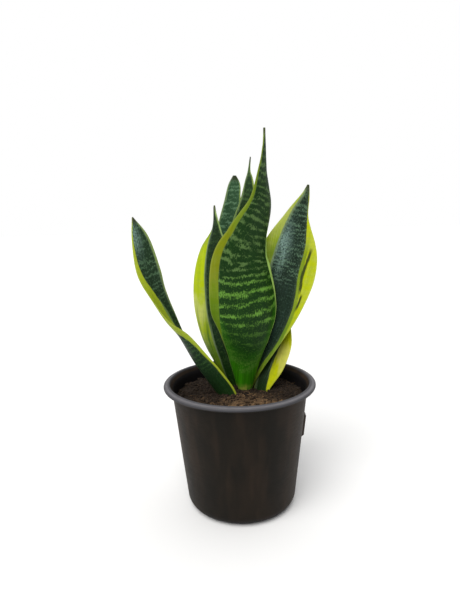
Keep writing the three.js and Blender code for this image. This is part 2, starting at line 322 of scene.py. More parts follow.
class LeafSettings(bpy.types.PropertyGroup):
    """Sizes and colours that all the leaves share."""

    base_thickness: length("Base thickness", "Thickness where the leaf is buried", 6, 2, 12)
    tip_thickness: length("Tip thickness", "Thickness at the tip", 2.2, 0.5, 6)
    edge: FloatProperty(
        name="Edge", description="Edge thickness over middle thickness", default=0.35, min=0.1, max=1
    )
    ripple: length("Ripple", "Height of the blade's slow ripples", 0.35, 0, 2)
    base_green: colour("Base green", "Colour near the soil", srgb(44, 108, 4))
    tip: colour("Tip", "Colour of the dry tip", srgb(50, 52, 34))
    foot: colour("Foot", "Colour at the soil line", srgb(134, 140, 60))
    edge_green: colour("Edge green", "Colour of the faint stripes in the edges", srgb(70, 108, 28))
    # Painted sheen: the bluish light caught along the fibres.
    fibre_sheen: colour("Vein", "Colour of the fine lines along the green", srgb(54, 76, 74))
    # Real pale patches in the edges, and also the painted highlight along the leaf's rim.
    cream_and_edge_light: colour("Cream", "Colour of the pale patches in the edges", srgb(188, 192, 112))
    # Painted reflection: the pale bluish light on the blade.
    reflection_tint: colour("Wax", "Colour where the wax is thick", srgb(136, 166, 158))
    halo: colour("Halo", "Pale strip inside the yellow edge", srgb(134, 156, 112))


# ---- Shapes --------------------------------------------------------------------------------------
def ease(value, low, high):
    """0 up to low, 1 from high on, and between them 3u^2 - 2u^3, with u the fraction of the way."""
    u = np.clip((value - low) / (high - low), 0, 1)
    return u * u * (3 - 2 * u)


def cell_value(cells, seed):
    """A repeatable number from 0 to 1 for each whole-numbered cell, from mixed products."""
    mixed = cells[..., 0] * 374761393 + cells[..., 1] * 668265263 + cells[..., 2] * 2147483647
    mixed = mixed + seed * 144665
    mixed = (mixed ^ (mixed >> 13)) * 1274126177
    mixed = mixed ^ (mixed >> 16)
    return (mixed & 0xFFFFFF) / 0xFFFFFF


def noise(points, size, seed):
    """Smooth noise from -1 to 1: the values of the eight cells round each point, blended by the
    eased distance to each, with cells of the given size."""
    scaled = points / size
    base = np.floor(scaled).astype(np.int64)
    u = scaled - base
    u = u * u * (3 - 2 * u)
    total = np.zeros(points.shape[:-1])
    for corner in np.ndindex(2, 2, 2):
        weight = np.prod(np.where(corner, u, 1 - u), axis=-1)
        total += weight * cell_value(base + np.array(corner), seed)
    return 2 * total - 1


def rough(points, size, octaves, seed):
    """A sum of noises, each with half the size and half the height of the one before."""
    total = np.zeros(points.shape[:-1])
    for octave in range(octaves):
        total += noise(points, size / 2**octave, seed + octave) / 2**octave
    return total


def smooth_rows(rows, t):
    """The rows' values at the positions t, on a cubic through every row: its slope at a row is half
    the difference between the rows on either side, and the end rows are mirrored."""
    rows = np.asarray(rows, float)
    padded = np.vstack([2 * rows[0] - rows[1], rows, 2 * rows[-1] - rows[-2]])
    i = np.clip(np.floor(t).astype(int), 0, len(rows) - 2)
    u = (t - i)[:, None]
    p0, p1, p2, p3 = (padded[i + k] for k in range(4))
    bend = 2 * p0 - 5 * p1 + 4 * p2 - p3
    twist = 3 * p1 - p0 - 3 * p2 + p3
    return p1 + 0.5 * u * (p2 - p0 + u * (bend + u * twist))


def unit(vectors):
    """The vectors divided by their lengths."""
    return vectors / np.linalg.norm(vectors, axis=-1, keepdims=True)


def arc(radius, height, size, start, end, count):
    """Points [radius, height] on an arc in a profile, from start to end degrees, 90 being up."""
    angle = np.radians(np.linspace(start, end, count))
    return np.stack([radius + size * np.cos(angle), height + size * np.sin(angle)], axis=-1)


def line(start, end, count):
    """Points on a straight line in a profile, without its two ends."""
    return np.linspace(start, end, count + 2)[1:-1]


def store_fact(mesh, key, values):
    """Stores one value or vector for each point of skins, with the end rows' means for their ends."""
    count, rows, columns = values.shape[:3]
    ends = values[:, [0, -1]].mean(axis=2)
    body = values.reshape(count, rows * columns, *values.shape[3:])
    flat = np.concatenate([body, ends], axis=1).astype(np.float32)
    vector = values.ndim == 4
    layer = mesh.attributes.new(key, "FLOAT_VECTOR" if vector else "FLOAT", "POINT")
    layer.data.foreach_set("vector" if vector else "value", flat.ravel())


def lay_out(mesh, count, rows, columns):
    """Gives skins their UV map: u is the share of the way round a row, v the share of the rows."""
    around, along = np.meshgrid(np.arange(columns) / columns, np.linspace(0, 1, rows))
    step = 1 / columns
    low, high = along[:-1], along[1:]
    left, right = around[:-1], around[:-1] + step
    corners = np.stack(
        [np.stack(pair, axis=-1) for pair in ((left, low), (right, low), (right, high), (left, high))],
        axis=2,
    ).reshape(-1, 2)
    fan_u = np.stack([around[0] + step / 2, around[0], around[0] + step], axis=-1)
    fan_v = np.repeat([[0.0], [1.0]], columns, axis=0)[:, :, None] * np.ones((1, 1, 3))
    fan = np.stack([np.tile(fan_u, (2, 1)), fan_v.reshape(-1, 3)], axis=-1).reshape(-1, 2)
    layout = np.concatenate([np.tile(corners, (count, 1)), np.tile(fan, (count, 1))])
    mesh.uv_layers.new(name="UVMap").data.foreach_set("uv", layout.astype(np.float32).ravel())


def skins(name, shells, facts=None):
    """A mesh of closed skins. shells is count x rows x columns x 3. Neighbouring rows are joined by
    four-sided faces that close round each row, and a fan to its mean point closes each end row. A
    fact is a value or a vector for each point, kept as an attribute."""
    count, rows, columns = shells.shape[:3]
    points = np.concatenate([shells.reshape(count, -1, 3), shells[:, [0, -1]].mean(axis=2)], axis=1)
    index = np.arange(rows * columns).reshape(rows, columns)
    beside = np.roll(index, -1, axis=1)
    quads = np.stack([index[:-1], beside[:-1], beside[1:], index[1:]], axis=-1).reshape(-1, 4)
    first = np.full(columns, rows * columns)
    fans = np.concatenate(
        [
            np.stack([first, beside[0], index[0]], axis=-1),
            np.stack([first + 1, index[-1], beside[-1]], axis=-1),
        ]
    )
    each = rows * columns + 2
    offsets = np.arange(count)[:, None, None] * each
    faces = (quads + offsets).reshape(-1, 4).tolist() + (fans + offsets).reshape(-1, 3).tolist()
    mesh = bpy.data.meshes.new(name)
    mesh.from_pydata(points.reshape(-1, 3) * MM, [], faces)
    for key, values in (facts or {}).items():
        store_fact(mesh, key, values)
    lay_out(mesh, count, rows, columns)
    mesh.polygons.foreach_set("use_smooth", np.ones(len(mesh.polygons), bool))
    mesh.update()
    piece = bpy.data.objects.new(name, mesh)
    bpy.context.scene.collection.objects.link(piece)
    return piece


def turned(profile, columns):
    """The profile of [radius, height] points turned about Z: x = r cos a, y = r sin a, z = height."""
    angle = np.arange(columns) * 2 * np.pi / columns
    radius = profile[:, 0, None]
    height = np.broadcast_to(profile[:, 1, None], (len(profile), columns))
    return np.stack([radius * np.cos(angle), radius * np.sin(angle), height], axis=-1)


def settings_of(name):
    """One of the scene's settings groups."""
    return getattr(bpy.context.scene, name + "_settings")


def finish_piece(piece, node, material):
    """The piece rides on the body, stands for its CAD node and takes its material."""
    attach(piece, BODY)
    if node:
        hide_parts(node)
    piece.data.materials.append(material)


# ---- Shader maths --------------------------------------------------------------------------------
class Wire:
    """An output socket. Each sum on it adds a Math node, so that a formula is written as Python."""

    def __init__(self, shader, socket):
        self.shader = shader
        self.socket = socket

    def __add__(self, other):
        return self.shader.math("ADD", self, other)

    def __sub__(self, other):
        return self.shader.math("SUBTRACT", self, other)

    def __rsub__(self, other):
        return self.shader.math("SUBTRACT", other, self)

    def __mul__(self, other):
        return self.shader.math("MULTIPLY", self, other)

    def __truediv__(self, other):
        return self.shader.math("DIVIDE", self, other)

    def __abs__(self):
        return self.shader.math("ABSOLUTE", self)

    __radd__ = __add__
    __rmul__ = __mul__


class Shader:
    """A new material and its node tree."""

    def __init__(self, name):
        self.material = bpy.data.materials.new(name)
        self.material.use_nodes = True
        self.tree = self.material.node_tree
        self.tree.nodes.clear()

    def node(self, kind, settings=None, sockets=None, output=0):
        """Adds a node: its settings first, then the values or wires of its sockets."""
        made = self.tree.nodes.new(kind)
        for key, value in (settings or {}).items():
            setattr(made, key, value)
        for key, value in (sockets or {}).items():
            if isinstance(value, Wire):
                self.tree.links.new(value.socket, made.inputs[key])
            else:
                made.inputs[key].default_value = value
        return Wire(self, made.outputs[output]) if made.outputs else None

    def math(self, operation, a, b=0.0):
        """A Math node on two values."""
        return self.node("ShaderNodeMath", {"operation": operation}, {0: a, 1: b})

    def ease(self, value, low, high):
        """0 at low, 1 at high and smooth between them. Low may be the larger of the two."""
        settings = {"interpolation_type": "SMOOTHSTEP"}
        sockets = {"Value": value, "From Min": low, "From Max": high}
        return self.node("ShaderNodeMapRange", settings, sockets)

    def mix(self, factor, a, b):
        """Colour a where factor is 0 and colour b where it is 1."""
        paint = [c if isinstance(c, Wire) else (*c, 1) for c in (a, b)]
        sockets = {0: factor, 6: paint[0], 7: paint[1]}
        return self.node("ShaderNodeMix", {"data_type": "RGBA"}, sockets, output=2)

    def stretch(self, vector, scale):
        """The vector with each part multiplied by the scale's."""
        sockets = {0: vector, 1: scale}
        return self.node("ShaderNodeVectorMath", {"operation": "MULTIPLY"}, sockets)

    def noise(self, place, scale, detail=2.0, roughness=0.5):
        """Noise about 0.5, with about scale features to a millimetre along each axis."""
        sockets = {
            "Vector": self.stretch(place, scale),
            "Scale": 1.0,
            "Detail": detail,
            "Roughness": roughness,
        }
        return self.node("ShaderNodeTexNoise", None, sockets)

    def attribute(self, name, output="Fac"):
        """One of the mesh's own attributes: its value, or its vector with the output Vector."""
        return self.node("ShaderNodeAttribute", {"attribute_name": name}, None, output)

    def parts(self, vector):
        """The three parts of a vector."""
        made = self.node("ShaderNodeSeparateXYZ", None, {0: vector})
        return [Wire(self, socket) for socket in made.socket.node.outputs]

    def millimetres(self):
        """The point in the object's frame, in millimetres."""
        place = self.node("ShaderNodeTexCoord", None, None, "Object")
        return self.stretch(place, (1 / MM,) * 3)

    def bump(self, height, distance):
        """The normal of a surface raised by height times distance, in millimetres."""
        sockets = {"Height": height, "Distance": distance * MM, "Strength": 1.0}
        return self.node("ShaderNodeBump", None, sockets)

    def surface(self, **sockets):
        """Ends the material in a Principled shader with these sockets."""
        named = {key.replace("_", " "): value for key, value in sockets.items()}
        shading = self.node("ShaderNodeBsdfPrincipled", None, named)
        self.node("ShaderNodeOutputMaterial", None, {"Surface": shading})
        return self.material


# ---- Materials -----------------------------------------------------------------------------------
# Heights along a leaf from the soil. A pair is where something starts to show and where it is full.
BANDS_CROWD_FROM = 108
UPPER_PART = (112.0, 135.0)
LOWER_STREAKS = (110.0, 55.0)
NEAR_SOIL = (52.0, 8.0)
PATCH_LINE = 32
PALE_FOOT = (16.0, 6.0)
LONG_DASH_TOP = (165.0, 155.0)
LONG_DASH_FOOT = (119.0, 131.0)
SHORT_DASH_TOP = (116.0, 111.0)
SHORT_DASH_FOOT = (94.0, 102.0)
GREEN_BY_DASHES = (176.0, 150.0)

# How far a leaf's cross-bands and its bright base sag, over the square of the distance across.
BAND_SAG = 0.0036
BASE_SAG = 0.05

# Distances across: the dashes' lines from the green's border, and the blend from left to right.
LONG_DASH_INSET = 4.6
SHORT_DASH_INSET = 7.4
SIDES_BLEND = (-1.0, 1.0)

# Distances from the tip: where the dry brown starts and where it is full.
DRY_TIP = (9.0, 2.0)


class LeafShader(Shader):
    """A waxy leaf's material.

    The blade attribute is (mm across, mm along, face or back). The margin attribute is how many
    millimetres a point lies inside the yellow edge, negative on the green. The outline attribute is
    its distance from the leaf's edge, tip is its distance from the tip, and the last attribute is how
    much painted reflection, a pale patch of light on the blade, a point gets.
    """

    def __init__(self, name, settings):
        super().__init__(name)
        self.settings = settings
        self.marks = MARKINGS[name]
        self.strength, _, _, start = self.marks["bands"]
        blade = self.attribute("blade", "Vector")
        self.across, self.along, _ = self.parts(blade)
        self.fibre = self.noise(blade, (0.9, 0.02, 1), detail=3)
        self.teeth = self.noise(blade, (0.75, 0.1, 1))
        self.drift = self.noise(blade, (0.045, 0.03, 1))
        self.patch = self.noise(blade, (0.07, 0.15, 1), detail=4, roughness=0.65)
        self.cloud = self.noise(blade, (0.06, 0.02, 1))
        self.speck = self.noise(blade, (0.8, 0.5, 1), detail=3, roughness=0.65)
        self.streaks = self.noise(blade, (0.32, 0.02, 1), detail=4)
        self.ragged = self.attribute("margin") + (self.fibre - 0.5) * 1.4 + (self.teeth - 0.5) * 0.6
        self.high = self.ease(self.along, *UPPER_PART)
        self.clear = self.ease(self.along, start + 5, start + 28)
        self.bands = self.cross_bands()

    def cross_bands(self):
        """A wave along the leaf that sags in the middle and wanders, with edges made jagged by the
        fibres. Its bands are closer together high up, and broken into patches."""
        _, low_spacing, high_spacing, _ = self.marks["bands"]
        sag = self.across * self.across * BAND_SAG
        height = self.along - sag - self.drift * 14 - self.teeth * 7
        crowded = self.math("MAXIMUM", height - BANDS_CROWD_FROM, 0.0)
        waves = height / low_spacing + crowded * (1 / high_spacing - 1 / low_spacing)
        wave = self.math("COSINE", waves * (2 * math.pi))
        broken = (self.patch - 0.5) * (2.6 + self.high * 2.4 + (1 - self.clear) * 2.0)
        return self.ease(wave * 0.5 + broken + (self.speck - 0.5) * 2.2, -0.05, 0.9)

    def green(self):
        """The blade: clouds, specks and painted sheen along the fibres, then the pale cross-bands,
        then a painted reflection.
        """
        dark = self.marks["dark"]
        light = self.mix(self.high, *self.marks["pale"])
        paint = self.mix(self.ease(self.cloud, 0.35, 0.65) * 0.6, dark, tinted(dark, (1.3,) * 3))
        specks = self.ease(self.speck, 0.5, 0.74) * (0.5 - self.strength * 0.2)
        paint = self.mix(specks, paint, light)
        # Painted sheen: bluish light along the fibres, most where the bands are faint.
        fibre_sheen_share = self.ease(self.fibre, 0.5, 0.72) * (1 - self.strength) * 0.35
        paint = self.mix(fibre_sheen_share, paint, self.settings.fibre_sheen)
        shown = self.bands * (0.18 + self.clear * 0.82) * self.ease(self.along, 20.0, 40.0)
        paint = self.mix(shown * self.strength * (1 - self.high * 0.15), paint, light)
        # Painted reflection: a pale bluish patch of light, broken up by noise.
        reflection_share = self.ease(self.cloud + (self.speck - 0.5) * 1.2 + (self.fibre - 0.5) * 0.8, 0.2, 0.9)
        return self.mix(self.attribute("reflection") * reflection_share, paint, self.settings.reflection_tint)

    def near_soil(self, green):
        """The green with a brighter base, pale patches across it and a pale foot."""
        fresh = self.marks["fresh"]
        base = self.settings.base_green
        sag = self.across * self.across * BASE_SAG
        low = self.along - sag + (self.patch - 0.5) * 14 + (self.fibre - 0.5) * 12
        bright = self.mix(self.ease(self.fibre, 0.4, 0.7), base, tinted(base, (1.7,) * 3))
        near_line = self.ease(abs(low - PATCH_LINE + self.drift * 8 - self.teeth * 4), 11.0, 3.0)
        patches = near_line * self.ease(self.patch + (self.speck - 0.5) * 0.7, 0.42, 0.6) * 0.75
        bright = self.mix(patches, bright, self.marks["pale"][0])
        paint = self.mix(self.ease(low, *NEAR_SOIL) * 0.85 * fresh, green, bright)
        foot = self.ease(self.along + self.teeth * 10, *PALE_FOOT) * fresh**2
        foot = foot * self.ease(self.patch + self.cloud, 0.75, 1.05)
        return self.mix(foot, paint, self.settings.foot)

    def halo(self):
        """How strong the pale strip on the green beside the yellow edge is: most on the left."""
        strength, width = self.marks["halo"]
        strip = self.ease(self.ragged + (self.fibre - 0.5) * 3, -width, -0.3) * strength
        return strip * (0.12 + self.ease(self.across, 4.0, -4.0) * 0.88)

    def gold(self):
        """The yellow edge: tinted patches, pale patches and a painted highlight along the rim, then
        green streaks, most of them low down, and the cross-bands showing through."""
        settings = self.settings
        amount = self.marks["streaks"]
        outline = self.attribute("outline")
        paint = self.mix(self.ease(self.across, *SIDES_BLEND), *self.marks["edges"])
        wander = (self.cloud - 0.5) * 40 + (self.fibre - 0.5) * 20
        for side, middle, reach, tint, strength in self.marks["tints"]:
            share = self.ease(abs(self.along + wander - middle), reach, reach * 0.3)
            share = share * self.ease(self.across * side, *SIDES_BLEND)
            paint = self.mix(share * strength, paint, tint)
        pallor = self.cloud * 0.5 + self.patch * 0.5 + (self.fibre - 0.5) * 0.3
        paint = self.mix(self.ease(pallor, 0.46, 0.64) * 0.32 * amount, paint, settings.cream_and_edge_light)
        # Painted highlight: a pale line along the leaf's rounded rim.
        paint = self.mix(self.ease(outline, 2.2, 0.3) * 0.12, paint, settings.cream_and_edge_light)
        lines = self.ease(self.streaks + (self.fibre - 0.5) * 0.5, 0.36, 0.66)
        lines = lines * (0.2 + self.ease(self.along, *LOWER_STREAKS) * 0.75)
        lines = lines * (0.5 + self.ease(outline, 1.5, 5.0) * 0.5)
        paint = self.mix(lines * amount, paint, settings.edge_green)
        return self.mix(self.bands * 0.11, paint, settings.edge_green)

    def dashes(self, gold):
        """The right edge with a long dark dash, a short one below it, and green beside the blade."""
        on_right = self.ease(self.across, 0.0, 4.0)
        off_line = self.ragged - LONG_DASH_INSET - self.ease(self.along, 128.0, 158.0) * 2.4
        long = self.ease(abs(off_line + (self.teeth - 0.5) * 1.6), 2.3, 0.9)
        long = long * self.ease(self.along, *LONG_DASH_TOP)
        long = long * self.ease(self.along + self.patch * 20, *LONG_DASH_FOOT)
        off_line = self.ragged - SHORT_DASH_INSET - (self.along - 114) * 0.2
        short = self.ease(abs(off_line), 1.9, 0.7) * self.ease(self.along, *SHORT_DASH_FOOT)
        short = short * self.ease(self.along, *SHORT_DASH_TOP)
        beside = self.ease(self.ragged, 5.0, 3.0) * self.ease(self.along, *GREEN_BY_DASHES)
        beside = beside * on_right * (0.35 + self.streaks * 0.5)
        paint = self.mix(beside, gold, self.settings.edge_green)
        return self.mix((long + short) * on_right * 0.9, paint, self.marks["dark"])

    def finished(self):
        """Lays the edge over the blade, dries the tip and ends the material."""
        green = self.near_soil(self.green())
        gold = self.gold()
        if self.marks["dashes"]:
            gold = self.dashes(gold)
        paint = self.mix(self.halo(), green, self.settings.halo)
        paint = self.mix(self.ease(self.ragged, -0.6, 0.5), paint, gold)
        dried = self.ease(self.attribute("tip"), *DRY_TIP) * 0.8
        paint = self.mix(dried, paint, self.settings.tip)
        relief = self.fibre * 0.5 + self.teeth * 0.2 + self.bands * 0.15 + self.speck * 0.25
        return self.surface(
            Base_Color=paint,
            Roughness=0.4 + self.speck * 0.16,
            Specular_IOR_Level=0.13,
            Coat_Weight=0.02,
            Coat_Roughness=0.3,
            Normal=self.bump(relief, 0.22),
        )


def pot_material(settings):
    """Moulded plastic, dark and faintly mottled, with dust; painted light on the lip and the wall's
    sides, and painted shade inside.
    """
    shader = Shader("pot_plastic")
    place = shader.millimetres()
    x, y, z = shader.parts(place)
    radius = shader.math("SQRT", x * x + y * y)
    mottle = shader.noise(place, (0.05, 0.05, 0.02), detail=3)
    scuffs = shader.noise(place, (0.12, 0.12, 0.9), detail=5, roughness=0.65)
    grain = shader.noise(place, (2.2,) * 3)
    streak = shader.noise(place, (0.09, 0.09, 0.012))

    # Where the lip is, and on it the outer edge and the inner ridge, which get painted highlights.
    top, ridge, rim = settings.rim_height, settings.ridge_radius, settings.rim_radius
    on_lip = shader.ease(z, top - 3, top - 1.8) * shader.ease(radius, ridge - 2, ridge - 1)
    edge_highlight = shader.ease(z, top - 1.2, top - 0.4) * shader.ease(radius, ridge + 0.6, ridge + 2)
    edge_highlight = edge_highlight * (1 - shader.ease(radius, rim - 2.2, rim - 0.8) * 0.6)
    ridge_highlight = shader.ease(z, top + 0.5, top + 1)
    paint = shader.mix(shader.ease(mottle, 0.35, 0.7) * 0.19, settings.plastic, settings.dust_and_sheen)
    paint = shader.mix(shader.ease(streak, 0.5, 0.72) * 0.2, paint, settings.dust_and_sheen)
    paint = shader.mix(shader.ease(scuffs, 0.62, 0.8) * 0.12, paint, settings.dust_and_sheen)
    wall_line = radius - z * math.tan(settings.wall_slope) - settings.base_radius
    outside = shader.ease(wall_line, -1.2, -0.6)
    # Painted sheen along the wall's left and right sides, in the dust colour.
    sides = shader.ease(abs(x), 30.0, 68.0) * shader.ease(mottle, 0.2, 0.6)
    paint = shader.mix(sides * outside * 0.5, paint, settings.dust_and_sheen)
    # Painted shade on the inside of the pot.
    paint = shader.mix((1 - outside) * 0.8, paint, settings.inside)
    # Painted light: the lip's top is paler where it faces up.
    paint = shader.mix(on_lip * (0.75 + scuffs * 0.3), paint, settings.lip_top_light)
    # Painted highlights on the lip's outer edge and inner ridge, broken up by the scuffs.
    lip_highlights = edge_highlight * (0.3 + scuffs * 0.8) + ridge_highlight * scuffs * 0.3
    paint = shader.mix(lip_highlights, paint, settings.lip_highlight)
    return shader.surface(
        Base_Color=paint,
        Roughness=0.56 + (scuffs - 0.5) * 0.3 - on_lip * 0.1,
        Specular_IOR_Level=0.11,
        Normal=shader.bump(grain * 0.35 + scuffs * 0.5, 0.12),
    )


def soil_material(name, settings):
    """Peaty soil. The crumb attribute, 0 to 1, says how pale a point is: crumbs are dry at random, the
    front middle is paler with painted light, and the walls and rear are darker with painted shade.
    """
    shader = Shader(name)
    place = shader.millimetres()
    crumb = shader.attribute("crumb")
    broad = shader.noise(place, (0.045,) * 3, detail=3)
    fine = shader.noise(place, (0.7,) * 3, detail=4, roughness=0.7)
    warm = tinted(settings.light, (1.2, 0.95, 0.75))
    dry_and_lit = shader.ease(crumb + (broad - 0.5) * 0.5 + (fine - 0.5) * 0.4, 0.1, 0.75)
    paint = shader.mix(shader.ease(fine, 0.35, 0.8) * 0.14, settings.dark, settings.light)
    paint = shader.mix(dry_and_lit * 0.85, paint, settings.light)
    paint = shader.mix(shader.ease(crumb, 0.7, 0.85) * 0.6, paint, warm)
    return shader.surface(
        Base_Color=paint,
        Roughness=0.86 + fine * 0.14,
        Specular_IOR_Level=0.2,
        Normal=shader.bump(fine, 0.5),
    )


def rhizome_material():
    """Tan skin with paler rings and rough patches."""
    shader = Shader("rhizome_skin")
    place = shader.millimetres()
    patches = shader.noise(place, (0.2,) * 3, detail=4)
    rings = shader.math("SINE", shader.parts(place)[1] * 1.6 + patches * 6)
    paint = shader.mix(shader.ease(patches, 0.3, 0.7), srgb(170, 118, 70), srgb(208, 166, 112))
    paint = shader.mix(shader.ease(rings, 0.6, 1.0) * 0.6, paint, srgb(118, 78, 46))
    return shader.surface(
        Base_Color=paint, Roughness=0.7 + patches * 0.2, Normal=shader.bump(rings * 0.4 + patches, 0.6)
    )


# ---- Pot -----------------------------------------------------------------------------------------
PAD_MIDDLE_HEIGHT = 84.5
PAD_HEIGHT = 23
PAD_WIDTH = 24
PAD_RISE = 2.4
PAD_AZIMUTH = math.radians(4)
PAD_CORNER = 1.2
PAD_SURROUND = 7
LIP_FILLET = 1.5
FILLET_OFFSET = 1.8
SHOULDER_WIDTH = 2.6
RIDGE_ROUND = 1.1
RIDGE_FOOT = 2.1
GROOVE_WIDTH = 2.2
GROOVE_DEPTH = 1.6
AXIS_RADIUS = 0.5
CHANNEL_DEPTH = 2.4
BOSS_RADIUS = 17
FOOT_RING_WIDTH = 5
FOOT_NOTCHES = 4
FOOT_NOTCH_WIDTH = 9
NOTCH_CORNER = 1.2
DRAIN_HOLES = 8
DRAIN_HOLE_RADIUS = 4
DRAIN_HOLE_SIDES = 32
DRAIN_CUT = (-3.0, 9.0)
DRAIN_CIRCLE_RADIUS = 29
POT_COLUMNS = 320


def wall_radius(settings, height, inset=0.0):
    """The straight wall's radius at a height, moved inwards by inset."""
    slope = settings.wall_slope
    return settings.base_radius + height * math.tan(slope) - inset / math.cos(slope)


def foot_arc(settings, inset, floor, count):
    """The rounded foot, moved inwards by inset, from the floor's height to the straight wall."""
    turn, slope = settings.foot_round, settings.wall_slope
    centre = settings.base_radius + turn * math.tan(slope) - turn / math.cos(slope)
    start = math.degrees(math.asin((floor - turn) / (turn - inset)))
    return arc(centre, turn, turn - inset, start, -math.degrees(slope), count)


def wall_point(settings, height, inset=0.0):
    """A profile point on the straight wall, moved inwards by inset."""
    return [wall_radius(settings, height, inset), height]


def pot_profile(settings):
    """The pot's closed outline: underside, rounded foot, wall, lip and its groove, inside, floor."""
    foot = foot_arc(settings, 0, 0, 16)
    inner_foot = foot_arc(settings, settings.wall, settings.floor_top, 12)[::-1]
    ring_inside = foot[0, 0] - FOOT_RING_WIDTH
    top = settings.rim_height
    under = top - settings.lip_thickness
    edge = settings.lip_thickness / 2
    lip_middle = settings.rim_radius - edge
    ridge = settings.ridge_radius
    around_pad = PAD_HEIGHT / 2 + PAD_SURROUND
    below_pad = wall_point(settings, PAD_MIDDLE_HEIGHT - around_pad)
    above_pad = wall_point(settings, PAD_MIDDLE_HEIGHT + around_pad)
    wall_top = wall_point(settings, under - LIP_FILLET)
    fillet = wall_top[0] + FILLET_OFFSET
    inner_top = wall_point(settings, under - 1, settings.wall)
    return np.concatenate(
        [
            [[AXIS_RADIUS, 0]],
            line([AXIS_RADIUS, 0], [BOSS_RADIUS, 0], 3),
            [[BOSS_RADIUS, 0], [BOSS_RADIUS + 0.3, 0.1], [BOSS_RADIUS + 1, CHANNEL_DEPTH]],
            line([BOSS_RADIUS + 1, CHANNEL_DEPTH], [ring_inside - 1, CHANNEL_DEPTH], 4),
            [[ring_inside - 1, CHANNEL_DEPTH], [ring_inside - 0.2, 0.2], [ring_inside, 0]],
            line([ring_inside, 0], foot[0], 2),
            foot,
            line(foot[-1], below_pad, 14),
            line(below_pad, above_pad, 46),
            line(above_pad, wall_top, 8),
            [wall_top],
            arc(fillet, under - LIP_FILLET, LIP_FILLET, 180, 90, 6)[1:],
            line([fillet, under], [lip_middle, under], 4),
            arc(lip_middle, top - edge, edge, -90, 80, 14),
            [[settings.rim_radius - SHOULDER_WIDTH, top - 0.15], [ridge + RIDGE_FOOT, top - 0.1]],
            arc(ridge, top + settings.ridge_rise - RIDGE_ROUND, RIDGE_ROUND, 50, 160, 8),
            [[ridge - GROOVE_WIDTH, top - GROOVE_DEPTH], inner_top],
            line(inner_top, inner_foot[0], 30),
            inner_foot,
            line(inner_foot[-1], [AXIS_RADIUS, settings.floor_top], 8),
            [[AXIS_RADIUS, settings.floor_top]],
        ]
    )


def drain_cutters():
    """A throwaway mesh of the drain holes' cylinders: rings of a circle, stacked through the floor."""
    angle = np.arange(DRAIN_HOLE_SIDES) * 2 * np.pi / DRAIN_HOLE_SIDES
    circle = np.stack([np.cos(angle), np.sin(angle)], axis=-1) * DRAIN_HOLE_RADIUS
    place = (np.arange(DRAIN_HOLES) + 0.5) * 2 * np.pi / DRAIN_HOLES
    centres = np.stack([np.cos(place), np.sin(place)], axis=-1) * DRAIN_CIRCLE_RADIUS
    flat = centres[:, None, None] + circle[None, None]
    shape = (DRAIN_HOLES, len(DRAIN_CUT), DRAIN_HOLE_SIDES)
    heights = np.array(DRAIN_CUT)[None, :, None, None]
    rings = [np.broadcast_to(flat, (*shape, 2)), np.broadcast_to(heights, (*shape, 1))]
    return skins("drain_cutters", np.concatenate(rings, axis=-1))


def raise_pad(shell, settings):
    """Moves the wall's outer face out by the pad's rise, inside a soft-edged rectangle."""
    angle = np.arctan2(shell[..., 1], shell[..., 0])
    radius = np.hypot(shell[..., 0], shell[..., 1])
    outer = ease(radius - wall_radius(settings, shell[..., 2], settings.wall / 2), 0, 0.4)
    sideways = np.abs(angle - PAD_AZIMUTH) * radius
    upwards = np.abs(shell[..., 2] - PAD_MIDDLE_HEIGHT)
    rise = ease(PAD_WIDTH / 2 - sideways, -PAD_CORNER / 2, PAD_CORNER / 2)
    rise *= ease(PAD_HEIGHT / 2 - upwards, -PAD_CORNER / 2, PAD_CORNER / 2)
    scale = 1 + PAD_RISE * rise * outer / radius
    shell[..., :2] *= scale[..., None]


def sink_notches(shell):
    """Lifts the foot ring to the channel's depth at each notch."""
    angle = np.arctan2(shell[..., 1], shell[..., 0])
    radius = np.hypot(shell[..., 0], shell[..., 1])
    pitch = 2 * np.pi / FOOT_NOTCHES
    offset = np.abs((angle % pitch) - pitch / 2) * radius
    notch = ease(FOOT_NOTCH_WIDTH / 2 - offset, -NOTCH_CORNER / 2, NOTCH_CORNER / 2)
    notch *= ease(radius, BOSS_RADIUS + 1, BOSS_RADIUS + 3)
    underside = shell[..., 2] < CHANNEL_DEPTH
    lifted = np.maximum(shell[..., 2], CHANNEL_DEPTH * notch)
    shell[..., 2] = np.where(underside, lifted, shell[..., 2])


def cut_drain_holes(piece, context):
    """Takes the drain holes' cylinders out of the pot, and keeps the result as a plain mesh."""
    cutters = drain_cutters()
    cut = piece.modifiers.new("Drain holes", "BOOLEAN")
    cut.operation = "DIFFERENCE"
    cut.solver = "EXACT"
    cut.object = cutters
    evaluated = piece.evaluated_get(context.evaluated_depsgraph_get())
    finished = bpy.data.meshes.new_from_object(evaluated)
    piece.modifiers.clear()
    piece.data = finished
    bpy.data.objects.remove(cutters)


class PLANT_OT_pot(bpy.types.Operator):
    """Turns the pot's outline, raises its pad, sinks its foot notches and cuts its drain holes"""

    bl_idname = "snake_plant.pot"
    bl_label = "Pot"

    def execute(self, context):
        settings = context.scene.pot_settings
        shell = turned(pot_profile(settings), POT_COLUMNS)
        raise_pad(shell, settings)
        sink_notches(shell)
        piece = skins("pot_shell", shell[None])
        cut_drain_holes(piece, context)
        finish_piece(piece, "pot", pot_material(settings))
        return {"FINISHED"}


# ---- Soil ----------------------------------------------------------------------------------------
SOIL_GAP = 0.3
SOIL_BEVEL = 2
CRUMB_GAP = 3.5
SOIL_COLUMNS = 320
SOIL_ROWS = 110
HOLLOW_MIDDLE = np.array([27, 14])
HOLLOW_REACH = np.array([17, 15])
